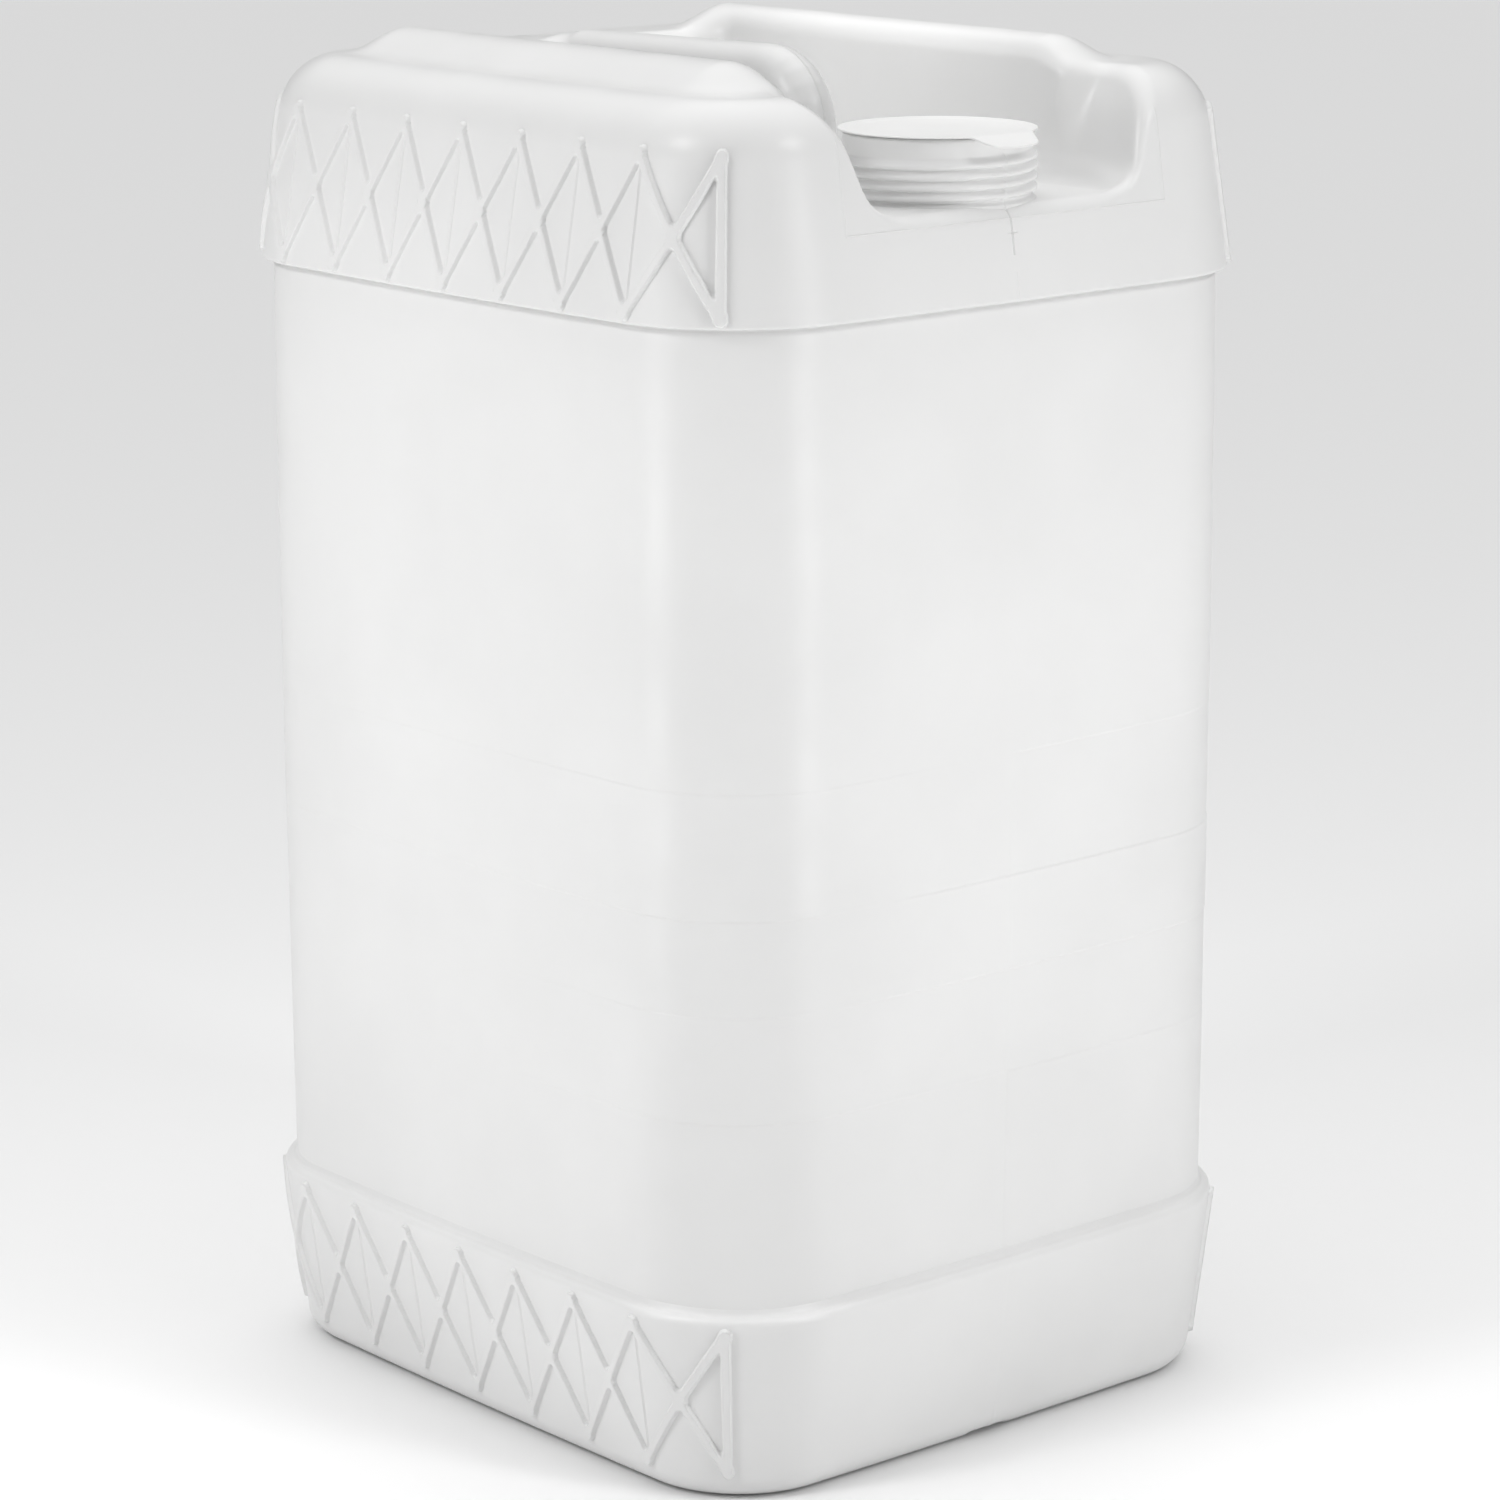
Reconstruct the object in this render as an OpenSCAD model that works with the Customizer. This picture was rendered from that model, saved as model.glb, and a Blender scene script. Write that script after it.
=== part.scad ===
// Square tight-head container of blown plastic, with a carry handle, two top ridges,
// a threaded neck in a front pocket and a peel-off seal on the neck.
// Frame: +Z up, origin at the middle of the base, the neck on the -Y side.
// The plane x = 0 is the mould's parting plane.

/* [Body] */
// Width across the body, between the straight side faces
body_w = 230; // [190:1:290]
// Depth of the body, between the straight front and rear faces
body_d = 253; // [210:1:310]
// Height of the container, floor to the top of the ridges
body_h = 447; // [340:1:560]
// Radius of the body's four upright corners
corner_r = 40; // [30:1:50]
// How far a side face bows out at its middle
side_bow = 3.2; // [1:0.1:6]
// How far the front and rear faces bow out at their middle
front_bow = 2.4; // [1:0.1:6]
// Further bulge of the faces halfway up the body
mid_bulge = 2.4; // [0:0.1:5]
// Wall thickness of the moulding
wall = 2.2; // [1.6:0.1:3]

/* [Bands] */
// Height of the lower band's lip
lip_z = 63; // [45:1:80]
// How far the lip stands out from the body
lip_proud = 4.1; // [2:0.1:6]
// How far the lower band draws in at the foot
foot_in = 2.2; // [0:0.1:6]
// Radius of the fillet around the base
foot_r = 9; // [5:0.5:14]
// Height of the upper band, lower edge to flat shoulder
band_h = 66; // [58:1:90]
// How far the upper band's edge stands out from the body
band_proud = 3.8; // [2:0.1:6]
// How far the upper band draws in at the start of the shoulder's curve
band_in = 2.8; // [0:0.1:6]
// Radius of the curve from the upper band to the flat shoulder
shoulder_r = 17; // [12:0.5:20]

/* [Base] */
// How far the middle of the base is pushed up
base_push = 3; // [1:0.1:5]
// Width of the foot ring that the container stands on
foot_ring = 22; // [15:1:30]
// Width of the channel across the foot at the parting plane
pinch_w = 17; // [10:1:25]
// Depth of that channel
pinch_depth = 2.3; // [1:0.1:4]

/* [Top] */
// Height of the two side ridges above the shoulder
ridge_h = 8; // [4:0.5:12]
// Distance of each ridge's crest in from the side face
ridge_in = 46; // [38:1:50]
// Radius of a ridge's crest
ridge_r = 14; // [11:0.5:16]
// Distance of the ridges' front ends in from the front face
ridge_front_in = 36.5; // [28:0.5:50]
// Distance of the ridges' rear ends in from the rear face
ridge_rear_in = 25.5; // [20:0.5:40]
// Depth of the trough and the neck pocket below the shoulder
pocket_depth = 37; // [30:1:42]
// Distance of the trough's side walls in from the side faces
trough_in = 59; // [56:1:66]
// Distance of the trough's rear wall in from the rear face, at its floor
trough_rear_in = 56.5; // [50:0.5:70]
// Radius along the trough's floor
trough_r = 10; // [6:0.5:14]
// How much deeper the trough is under the handle than around the neck
hand_dip = 8; // [0:0.5:12]
// How much narrower the pour notch is than the trough, on each side of its floor
notch_in = 2; // [0:0.5:10]
// How far each side of the pour notch leans out, floor to shoulder
notch_flare = 15; // [4:0.5:18]

/* [Handle] */
// Width of the handle bar
handle_w = 20; // [16:1:26]
// Height of the handle bar's top above the shoulder
handle_rise = 5; // [2:0.5:8]
// How far the front post stands forward of the handle's straight top
handle_reach = 16.5; // [12:0.5:20]
// Room between the front post and the neck
handle_gap = 22.9; // [18:0.1:30]

/* [Neck] */
// Distance of the neck's outside in from the front face
neck_in = 1.9; // [0.5:0.1:8]
// Radius of the pouring bore
bore_r = 26.5; // [22:0.5:28]
// Thickness of the neck's wall
neck_wall = 3.1; // [2.5:0.1:4]
// Height of the neck above the pocket floor
neck_h = 20.8; // [18:0.1:26]
// Rise of the thread in one turn
thread_pitch = 3.3; // [2.5:0.1:3.6]
// How far the thread stands out from the neck
thread_proud = 1.6; // [1:0.1:2]
// Height of the thread's root on the neck
thread_root = 2.2; // [1.6:0.1:2.4]
// Number of turns of thread
thread_turns = 3.8; // [3:0.1:4]
// Distance of the thread's upper end below the rim
thread_drop = 6.7; // [5:0.1:7]
// Angle round the neck at which the thread starts
thread_start = 105; // [0:1:359]

/* [Seal] */
// Thickness of the peel-off seal
seal_t = 0.8; // [0.5:0.1:1.2]
// How far the seal overhangs the neck's outside
seal_over = 1.6; // [0.5:0.1:2]
// Clearance under the seal
seal_gap = 0.3; // [0.2:0.05:0.6]
// Width of the pull tab
tab_w = 26; // [20:1:30]
// Reach of the pull tab beyond the seal's cut edge
tab_reach = 9; // [7:0.5:12]
// Angle that the pull tab droops by
tab_droop = 20; // [10:1:24]
// Clearance between the seal's cut edge and the tab
tab_gap = 0.6; // [0.4:0.05:0.8]

/* [Grip ribs] */
// Number of X-shaped panels in each lattice
rib_panels = 8; // [4:1:10]
// Width of one panel along the face
rib_pitch = 29.2; // [20:0.1:34]
// Width of a rib at its root
rib_w = 3; // [2:0.1:4]
// Width of the thin upright ribs inside the lattice
thin_rib_w = 1.6; // [1:0.1:3]
// How far the ribs stand out from the band
rib_proud = 1.5; // [0.8:0.1:2]
// Height of the lower ribs' feet above the floor
lower_rib_z = 10; // [10:0.5:12]
// Distance from the lower ribs' tops to the lip
lower_rib_room = 5; // [4:0.5:12]
// Height of the upper ribs' feet above the upper band's edge
upper_rib_lift = 3; // [2:0.5:5]
// How far the upper ribs reach onto the shoulder's curve
upper_rib_over = 2; // [0:0.5:3]

/* [Hidden] */

// Heights that the pieces share
shoulder_z = body_h - ridge_h;
band_z = shoulder_z - band_h;
wall_z = lip_z + 3;
pocket_z = shoulder_z - pocket_depth;
rim_z = pocket_z + neck_h;
seal_z = rim_z + seal_gap;
mid_z = (wall_z + band_z) / 2;
above = 40;
bite = 1;

// Radii around the neck's axis
neck_r = bore_r + neck_wall;
seal_r = neck_r + seal_over;
seal_cut = sqrt(seal_r * seal_r - tab_w * tab_w / 4);

// Places across and along the top, from the middle of the container
half_w = body_w / 2;
half_d = body_d / 2;
ridge_x = half_w - ridge_in;
ridge_front = half_d - ridge_front_in;
ridge_rear = half_d - ridge_rear_in;
trough_half = half_w - trough_in;
trough_rear = half_d - trough_rear_in;
notch_low = trough_half - notch_in;
notch_top = notch_low + notch_flare;
neck_y = half_d - neck_in - neck_r;
handle_front = neck_y - neck_r - handle_gap - handle_w / 2 - handle_reach;

// A ball whose top and bottom lie at its full radius
ball_sides = 24;
module ball(r, sides = ball_sides) {
    scale([1, 1, 1 / cos(180 / sides)])
        sphere(r = r, $fn = sides);
}

// Outline of the body: a rounded rectangle with bowed sides
corner_steps = 7;
side_steps = 4;
corners = [[1, -1, -90], [1, 1, 0], [-1, 1, 90], [-1, -1, 180]];

// A corner's arc, then the points along the side that follows it
function corner_arc(c, a, b, r) = [
    for (i = [0:corner_steps])
    let (t = c[2] + 90 * i / corner_steps)
    [c[0] * (a - r) + r * cos(t), c[1] * (b - r) + r * sin(t)]
];
function square_outline(a, b, r) = [
    for (k = [0:3])
    let (here = corner_arc(corners[k], a, b, r))
    let (next = corner_arc(corners[(k + 1) % 4], a, b, r)[0])
    let (last = here[corner_steps])
    for (p = concat(here, [for (j = [1:side_steps - 1]) last + (next - last) * j / side_steps]))
    p
];
function bowed(p, a, b, bow, bulge) = [
    p[0] * (1 + (bow * side_bow + bulge) / a * (1 - pow(p[1] / b, 2))),
    p[1] * (1 + (bow * front_bow + bulge) / b * (1 - pow(p[0] / a, 2)))
];
function outline(grow, bow = 1, bulge = 0) = [
    for (p = square_outline(half_w + grow, half_d + grow, corner_r + grow))
    bowed(p, half_w + grow, half_d + grow, bow, bulge)
];
outline_count = len(outline(0));

// A stack of outlines, each given as [height, grow, bow, bulge]
function stack_points(rings) = [
    for (r = rings) for (p = outline(r[1], r[2], r[3])) [p[0], p[1], r[0]]
];
function stack_sides(count) = [
    for (j = [0:count - 1]) for (i = [0:outline_count - 1]) for (half = [0:1])
    let (k = (i + 1) % outline_count)
    let (low = j * outline_count)
    let (high = low + outline_count)
    half == 0 ? [low + i, high + i, high + k] : [low + i, high + k, low + k]
];

// A closed solid with a flat face at its first and last outline
module loft(rings) {
    last = (len(rings) - 1) * outline_count;
    foot_face = [for (i = [0:outline_count - 1]) i];
    top_face = [for (i = [0:outline_count - 1]) last + outline_count - 1 - i];
    polyhedron(
        points = stack_points(rings),
        faces = concat([foot_face], stack_sides(len(rings) - 1), [top_face])
    );
}

// Profile of the lower band's outside, from the floor to the top of its lip
foot_steps = 5;
foot_bow = 0.6;
foot_arc = [
    for (i = [0:foot_steps])
    let (t = 90 * i / foot_steps)
    [foot_r * (1 - cos(t)), -foot_in - foot_r * (1 - sin(t)), foot_bow, 0]
];
lip_r = 2.6;
lip_low = lip_z - lip_r;
lip_arc = [
    for (t = [0:30:90])
    [lip_low + lip_r * sin(t), lip_proud - lip_r * (1 - cos(t)), 1, 0]
];
pan_rings = concat(foot_arc, lip_arc, [[wall_z, 0, 1, 0]]);
function inset(rings) = [for (r = rings) [r[0], r[1] - wall, r[2], r[3]]];

// Profile of the upper band's outside, from its edge to the shoulder
edge_r = 1;
curve_bow = 0.3;
curve_z = shoulder_z - shoulder_r;
shoulder_steps = 6;
band_rings = concat(
    [
        [band_z, band_proud - edge_r, 1, 0],
        [band_z + edge_r, band_proud, 1, 0],
        [curve_z, -band_in, curve_bow, 0]
    ],
    [
        for (i = [1:shoulder_steps])
        let (t = 90 * i / shoulder_steps)
        [curve_z + shoulder_r * sin(t), -band_in - shoulder_r * (1 - cos(t)), curve_bow * cos(t), 0]
    ]
);

// The lower band: a pan with a pushed-up base and a channel across its foot
module base_push_up(grow) {
    loft([
        [-bite, -foot_in - foot_r - foot_ring + grow + bite, foot_bow, 0],
        [base_push + grow, -foot_in - foot_r - foot_ring + grow - base_push, foot_bow, 0]
    ]);
}
module pinch_channel(grow) {
    translate([0, 0, -bite])
        linear_extrude(pinch_depth + grow + bite)
            square([pinch_w + 2 * grow, 2 * body_d], center = true);
}
module base_pan() color([0.93, 0.93, 0.92]) {
    difference() {
        loft(pan_rings);
        difference() {
            loft(concat(
                [[wall, -foot_in - foot_r, foot_bow, 0]],
                inset([for (r = foot_arc) if (r[0] > wall) r]),
                [[lip_low - wall, lip_proud - 2 * wall, 1, 0], [wall_z - wall, -wall, 1, 0]],
                [[wall_z + bite, -wall, 1, 0]]
            ));
            base_push_up(wall);
            pinch_channel(wall);
        }
        base_push_up(0);
        pinch_channel(0);
    }
}

// The body: a tube with faces that bow out most at half height
wall_steps = 6;
wall_rings = [
    for (i = [0:wall_steps])
    let (u = 2 * i / wall_steps - 1)
    [mid_z + u * (band_z - wall_z) / 2, 0, 1, mid_bulge * (1 - u * u)]
];
module body_wall() color([0.94, 0.94, 0.93]) {
    inner_rings = inset(wall_rings);
    difference() {
        loft(wall_rings);
        loft(concat(
            [[wall_z - bite, -wall, 1, 0]],
            inner_rings,
            [[band_z + bite, -wall, 1, 0]]
        ));
    }
}

// A ridge's crest, as a bar with round ends
module ridge_bar(side, shrink) {
    hull() for (y = [-ridge_front + ridge_r, ridge_rear - ridge_r])
        translate([side * ridge_x, y, body_h - ridge_r])
            ball(ridge_r - shrink, 28);
}
module side_ridge(side) color([0.95, 0.95, 0.94]) {
    reach = ridge_r + bite;
    difference() {
        ridge_bar(side, 0);
        ridge_bar(side, wall);
        translate([side * ridge_x - reach, -ridge_front - bite, 0])
            cube([2 * reach, ridge_front + ridge_rear + 2 * bite, shoulder_z]);
    }
}

// The trough between the ridges: level around the neck, deeper under the handle,
// with round edges along its floor and a rear wall that leans back
trough_lean = 10;
trough_stops = [
    [-neck_y - neck_r + trough_r, 0, 0],
    [-neck_y + neck_r + trough_r, 0, 0],
    [-handle_front, hand_dip, 0],
    [trough_rear - trough_r, hand_dip, trough_lean]
];
module trough_end(stop, grow) {
    for (x = [-1, 1]) {
        translate([x * (trough_half - trough_r), stop[0], pocket_z - stop[1] + trough_r])
            ball(trough_r + grow);
        translate([x * (trough_half - trough_r), stop[0] + stop[2], shoulder_z])
            cylinder(r = trough_r + grow, h = above, $fn = ball_sides);
    }
}
module trough(grow) {
    for (i = [0:len(trough_stops) - 2])
        hull() {
            trough_end(trough_stops[i], grow);
            trough_end(trough_stops[i + 1], grow);
        }
}

// The pour notch through the front wall, wider at the top
module pour_notch(grow) {
    run = half_d;
    hull() for (x = [-1, 1], y = [0, 1]) {
        translate([x * (notch_low - trough_r), -neck_y - y * run, pocket_z + trough_r])
            ball(trough_r + grow);
        translate([x * (notch_top - trough_r), -neck_y - y * run, shoulder_z])
            cylinder(r = trough_r + grow, h = above, $fn = ball_sides);
    }
}
module top_outside() {
    difference() {
        loft(band_rings);
        trough(0);
        pour_notch(0);
    }
}
module top_inside() {
    loft(concat(
        [[band_z - bite, -wall, 1, 0], [band_z + wall, band_proud - 2 * wall, 1, 0]],
        [for (r = band_rings) if (r[0] >= curve_z) [r[0] - wall, r[1] - wall, r[2], 0]]
    ));
}
module around_trough() {
    trough(wall);
    pour_notch(wall);
}

// The top in four nodes: the band's wall, two halves of the shoulder, and the trough between
module upper_band() color([0.95, 0.95, 0.94]) {
    difference() {
        loft([for (r = band_rings) if (r[0] <= curve_z) r]);
        top_inside();
        around_trough();
    }
}
ridge_slot = 1.5 * wall;
module shoulder(side) color([0.95, 0.95, 0.94]) {
    difference() {
        loft([for (r = band_rings) if (r[0] >= curve_z) r]);
        top_inside();
        around_trough();
        ridge_bar(side, ridge_slot);
        translate([min(0, -side * body_w), -body_d, band_z])
            cube([body_w, 2 * body_d, band_h + bite]);
    }
}
module trough_lining() color([0.95, 0.95, 0.94]) {
    difference() {
        intersection() {
            loft(band_rings);
            around_trough();
        }
        trough(0);
        pour_notch(0);
        translate([0, -neck_y, pocket_z - above])
            cylinder(r = bore_r, h = 2 * above, $fn = 96);
        handle_path(handle_w / 2 - wall);
    }
}

// The handle: a hollow round bar from the rear shoulder down to the trough floor
handle_z = shoulder_z + handle_rise - handle_w / 2;
handle_stops = [
    [trough_rear + 18, handle_z - 9],
    [trough_rear + 2, handle_z],
    [-handle_front, handle_z],
    [-handle_front - 0.5 * handle_reach, handle_z - 4],
    [-handle_front - 0.85 * handle_reach, handle_z - 12],
    [-handle_front - handle_reach, pocket_z + wall]
];
module handle_path(r) {
    for (i = [0:len(handle_stops) - 2])
        hull() for (p = [handle_stops[i], handle_stops[i + 1]])
            translate([0, p[0], p[1]])
                ball(r);
}
module carry_handle() color([0.95, 0.95, 0.94]) {
    difference() {
        handle_path(handle_w / 2);
        handle_path(handle_w / 2 - wall);
        top_outside();
    }
}

// The neck: a plain tube on the pocket floor, with a rounded rim
rim_r = 0.8;
module neck() color([0.94, 0.94, 0.93]) {
    translate([0, -neck_y, pocket_z])
        rotate_extrude($fn = 96)
            polygon([
                [bore_r, 0], [neck_r, 0], [neck_r, neck_h - rim_r],
                [neck_r - rim_r, neck_h], [bore_r, neck_h]
            ]);
}

// The thread: one rounded ridge that climbs round the neck and fades at both ends
thread_steps = 32;
thread_top = neck_h - thread_drop;
thread_rings = floor(thread_turns * thread_steps);
function thread_ring(i) =
    let (t = thread_start + 360 * i / thread_steps)
    let (z = thread_top - thread_pitch * (thread_turns - i / thread_steps))
    let (fade = min(1, i / 6, (thread_rings - i) / 6))
    let (tall = 0.2 + fade * (thread_proud - 0.2))
    [
        for (p = [[-0.3, -0.5], [tall, -0.22], [tall, 0.22], [-0.3, 0.5]])
        [(neck_r + p[0]) * cos(t), (neck_r + p[0]) * sin(t), z + p[1] * thread_root]
    ];
module neck_thread() color([0.94, 0.94, 0.93]) {
    sides = [
        for (i = [0:thread_rings - 1]) for (j = [0:3]) for (half = [0:1])
        let (a = 4 * i + j)
        let (b = 4 * i + (j + 1) % 4)
        half == 0 ? [a, b, b + 4] : [a, b + 4, a + 4]
    ];
    last = 4 * thread_rings;
    translate([0, -neck_y, pocket_z])
        polyhedron(
            points = [for (i = [0:thread_rings]) for (p = thread_ring(i)) p],
            faces = concat([[3, 2, 1, 0]], sides, [[last, last + 1, last + 2, last + 3]])
        );
}

// Distance round the outline: 0 at the front corner's middle, growing towards the rear.
// This follows the +X face; the left lattice is its mirror image.
function on_corner(grow, along, sign, mid) =
    let (r = corner_r + grow)
    let (t = 45 + along / r * 180 / PI)
    [half_w - corner_r + r * sin(t), sign * (mid + r * cos(t)), t];
function lattice_point(along, grow) =
    let (r = corner_r + grow)
    let (quarter = r * PI / 4)
    let (flat = body_d - 2 * corner_r)
    let (mid = half_d - corner_r)
    along < quarter ? let (p = on_corner(grow, along, -1, mid)) [p[0], p[1]] :
    along < quarter + flat ? [half_w + grow, -mid + along - quarter] :
    let (p = on_corner(grow, 2 * quarter + flat - along, 1, mid)) [p[0], p[1]];
function band_grow(z, low_z, low_grow, high_z, high_grow) =
    low_grow + (high_grow - low_grow) * (z - low_z) / (high_z - low_z);

// One end of a rib: a short stud that stands out from the band
module rib_stud(along, z, grow, bow, width) {
    flat = lattice_point(along, grow);
    here = bowed(flat, half_w + grow, half_d + grow, bow, 0);
    ahead_flat = lattice_point(along + 1, grow);
    ahead = bowed(ahead_flat, half_w + grow, half_d + grow, bow, 0);
    turn = atan2(ahead[1] - here[1], ahead[0] - here[0]) - 90;
    translate([here[0], here[1], z])
        rotate([0, 90, turn])
            translate([0, 0, -bite])
                cylinder(h = bite + rib_proud, r1 = width / 2 + 0.3, r2 = width / 2 - 0.3, $fn = 6);
}
module rib(a, b, width, band, pieces) {
    for (i = [0:pieces - 1])
        hull() for (k = [i, i + 1]) {
            p = a + (b - a) * k / pieces;
            u = (p[1] - band[0]) / (band[1] - band[0]);
            rib_stud(p[0], p[1], band[2] + u * (band[3] - band[2]), band[4] + u * (band[5] - band[4]), width);
        }
}
lattice_start = PI / 4 * corner_r + half_d - corner_r - rib_panels * rib_pitch / 2;
module lattice(low, high, band) {
    for (i = [0:rib_panels - 1]) {
        x = lattice_start + i * rib_pitch;
        rib([x, low], [x + rib_pitch, high], rib_w, band, 4);
        rib([x + rib_pitch, low], [x, high], rib_w, band, 4);
    }
    for (i = [0:rib_panels]) {
        x = lattice_start + i * rib_pitch;
        end = i == 0 || i == rib_panels;
        rib([x, low], [x, high], end ? rib_w : thin_rib_w, band, 1);
    }
}
lower_slope = [foot_r, lip_low, -foot_in, lip_proud, foot_bow, 1];
upper_slope = [band_z + edge_r, curve_z, band_proud, -band_in, 1, curve_bow];
module lower_grip(side) color([0.96, 0.96, 0.95]) {
    difference() {
        scale([side, 1, 1])
            lattice(lower_rib_z, lip_z - lower_rib_room, lower_slope);
        loft(pan_rings);
    }
}
module upper_grip(side) color([0.96, 0.96, 0.95]) {
    difference() {
        scale([side, 1, 1])
            lattice(band_z + upper_rib_lift, curve_z + upper_rib_over, upper_slope);
        loft(band_rings);
    }
}

// The seal: a thin disc over the rim, and a half-moon tab that hangs at its front edge
module seal_disc() color([0.97, 0.97, 0.96, 0.8]) {
    translate([0, -neck_y, seal_z])
        difference() {
            cylinder(r = seal_r, h = seal_t, $fn = 96);
            translate([-tab_w, -seal_cut - tab_w, -bite])
                cube([2 * tab_w, tab_w, seal_t + 2 * bite]);
        }
}
module seal_tab() color([0.97, 0.97, 0.96, 0.8]) {
    lobe_r = (tab_w * tab_w / 4 + tab_reach * tab_reach) / (2 * tab_reach);
    translate([0, -neck_y - seal_cut - tab_gap, seal_z + seal_t])
        rotate([tab_droop, 0, 0])
            translate([0, 0, -seal_t])
                linear_extrude(seal_t)
                    intersection() {
                        translate([0, lobe_r - tab_reach])
                            circle(r = lobe_r, $fn = 64);
                        translate([-tab_w, -tab_w])
                            square([2 * tab_w, tab_w]);
                    }
}

base_pan();
body_wall();
upper_band();
shoulder(-1);  // shoulder_left
shoulder(1);  // shoulder_right
trough_lining();  // trough
side_ridge(-1);  // side_ridge_left
side_ridge(1);  // side_ridge_right
carry_handle();
neck();
neck_thread();
lower_grip(-1);  // lower_grip_left
lower_grip(1);  // lower_grip_right
upper_grip(-1);  // upper_grip_left
upper_grip(1);  // upper_grip_right
seal_disc();
seal_tab();
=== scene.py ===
"""The looks of a square tight-head container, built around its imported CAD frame.

The moulding follows a few smooth distance functions, so its ridges, trough, notch and handle flow into
each other as blown plastic does. Shapes are worked out in millimetres in the CAD frame, and every mesh
is made in metres.
"""

import math

import bpy
import numpy as np
from mathutils import Matrix, Vector


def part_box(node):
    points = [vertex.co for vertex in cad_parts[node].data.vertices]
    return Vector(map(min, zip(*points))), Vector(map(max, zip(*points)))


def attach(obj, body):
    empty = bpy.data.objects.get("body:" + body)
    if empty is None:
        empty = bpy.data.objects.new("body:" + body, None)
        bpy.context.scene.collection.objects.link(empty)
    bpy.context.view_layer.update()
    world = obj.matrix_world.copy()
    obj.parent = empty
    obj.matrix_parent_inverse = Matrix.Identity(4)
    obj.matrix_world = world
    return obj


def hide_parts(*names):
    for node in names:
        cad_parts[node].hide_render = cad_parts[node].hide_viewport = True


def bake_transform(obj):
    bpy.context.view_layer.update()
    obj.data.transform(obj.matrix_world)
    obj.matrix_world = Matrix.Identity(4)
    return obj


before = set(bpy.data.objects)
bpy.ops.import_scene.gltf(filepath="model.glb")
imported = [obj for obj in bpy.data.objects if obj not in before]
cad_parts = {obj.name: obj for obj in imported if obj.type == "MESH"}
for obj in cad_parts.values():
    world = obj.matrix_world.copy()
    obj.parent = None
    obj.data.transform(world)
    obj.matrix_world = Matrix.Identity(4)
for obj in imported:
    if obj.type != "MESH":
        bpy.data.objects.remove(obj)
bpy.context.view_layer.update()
MM = 0.001


def node_box(node):
    """The lowest and highest corner of a CAD node, in millimetres."""
    low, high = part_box(node)
    return np.array(low) / MM, np.array(high) / MM


# ---------------------------------------------------------------- sizes, in millimetres

# The body's outline: half widths of its straight faces, corner radius, and how far the faces bow out
HALF_W, HALF_D, CORNER_R = 115.0, 126.5, 40.0
SIDE_BOW, FRONT_BOW, MID_BULGE = 3.2, 2.4, 2.4
WALL, SEEN_WALL = 2.2, 3.3

# The lower band
LIP_PROUD, LIP_R = 4.1, 2.6
FOOT_IN, FOOT_R, FOOT_BOW, FOOT_RING = 2.2, 9.0, 0.6, 22.0
BASE_PUSH = 3.0
PINCH_W, PINCH_DEPTH = 17.0, 2.3

# The wall: how far it draws in below the upper band, and how high its parting line runs
RELIEF, LINE_RUN = 1.0, 66.0

# The upper band and the shoulder
BAND_PROUD, BAND_IN, CURVE_BOW, SHOULDER_R, EDGE_R = 3.8, 2.8, 0.3, 17.0, 0.9

# The trough, the pour notch and the handle
TROUGH_HALF, TROUGH_REAR, TROUGH_R, TROUGH_LEAN = 56.0, 70.0, 10.0, 14.0
HAND_DIP = 8.0
NOTCH_LOW, NOTCH_TOP = 54.0, 69.0
HANDLE_R, HANDLE_FRONT, HANDLE_REACH = 10.0, 16.0, 16.5
RIDGE_R = 14.0

# Radii that join the top's shapes: trough to notch, ridge to shoulder, hollow's rim, handle to trough
WALL_FILLET, TROUGH_FRONT_R, NOTCH_FILLET = 14.0, 6.0, 8.0
RIDGE_FILLET, RIM_FILLET, HANDLE_FILLET = 9.0, 5.0, 7.0

# The grip ribs
RIB_PANELS, RIB_PITCH, RIB_PROUD, RIB_HALF, THIN_HALF = 8, 29.2, 1.5, 1.75, 0.8
LOWER_RIBS = (10.0, 58.0)
UPPER_RIB_LIFT, UPPER_RIB_OVER = 3.0, 2.0

# The thread and the seal
THREAD_PITCH, THREAD_TURNS, THREAD_START, THREAD_DROP = 3.3, 3.8, 105.0, 6.7
TAB_HALF, TAB_DROOP = 13.0, math.radians(20)

# Heights and places that the frame gives
wall_low, wall_high = node_box("body_wall")
_, top_high = node_box("shoulder_right")
ridge_low, ridge_high = node_box("side_ridge_right")
neck_low, neck_high = node_box("neck")
thread_low, thread_high = node_box("neck_thread")
seal_low, seal_high = node_box("seal_disc")
tab_low, tab_high = node_box("seal_tab")
_, handle_high = node_box("carry_handle")

WALL_Z, BAND_Z = wall_low[2], wall_high[2]
SHOULDER_Z, TOP_Z = top_high[2], ridge_high[2]
CURVE_Z = SHOULDER_Z - SHOULDER_R
LIP_Z = WALL_Z - 3.0
RIDGE_X = (ridge_low[0] + ridge_high[0]) / 2
RIDGE_FRONT, RIDGE_REAR = ridge_low[1] + 0.9, ridge_high[1] - 0.9
NECK_Y = (neck_low[1] + neck_high[1]) / 2
NECK_R = (neck_high[0] - neck_low[0]) / 2
POCKET_Z, RIM_Z = neck_low[2], neck_high[2]
THREAD_R = (thread_high[0] - thread_low[0]) / 2
BORE_R = NECK_R - 3.1
SEAL_R = (seal_high[0] - seal_low[0]) / 2
SEAL_TOP = seal_high[2]
HANDLE_Z = handle_high[2] - HANDLE_R


# ---------------------------------------------------------------- distance functions

def round_max(a, b, r):
    """The part inside both a and b, with its edge rounded to radius r."""
    return np.minimum(-r, np.maximum(a, b)) + np.hypot(np.maximum(a + r, 0), np.maximum(b + r, 0))


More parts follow.
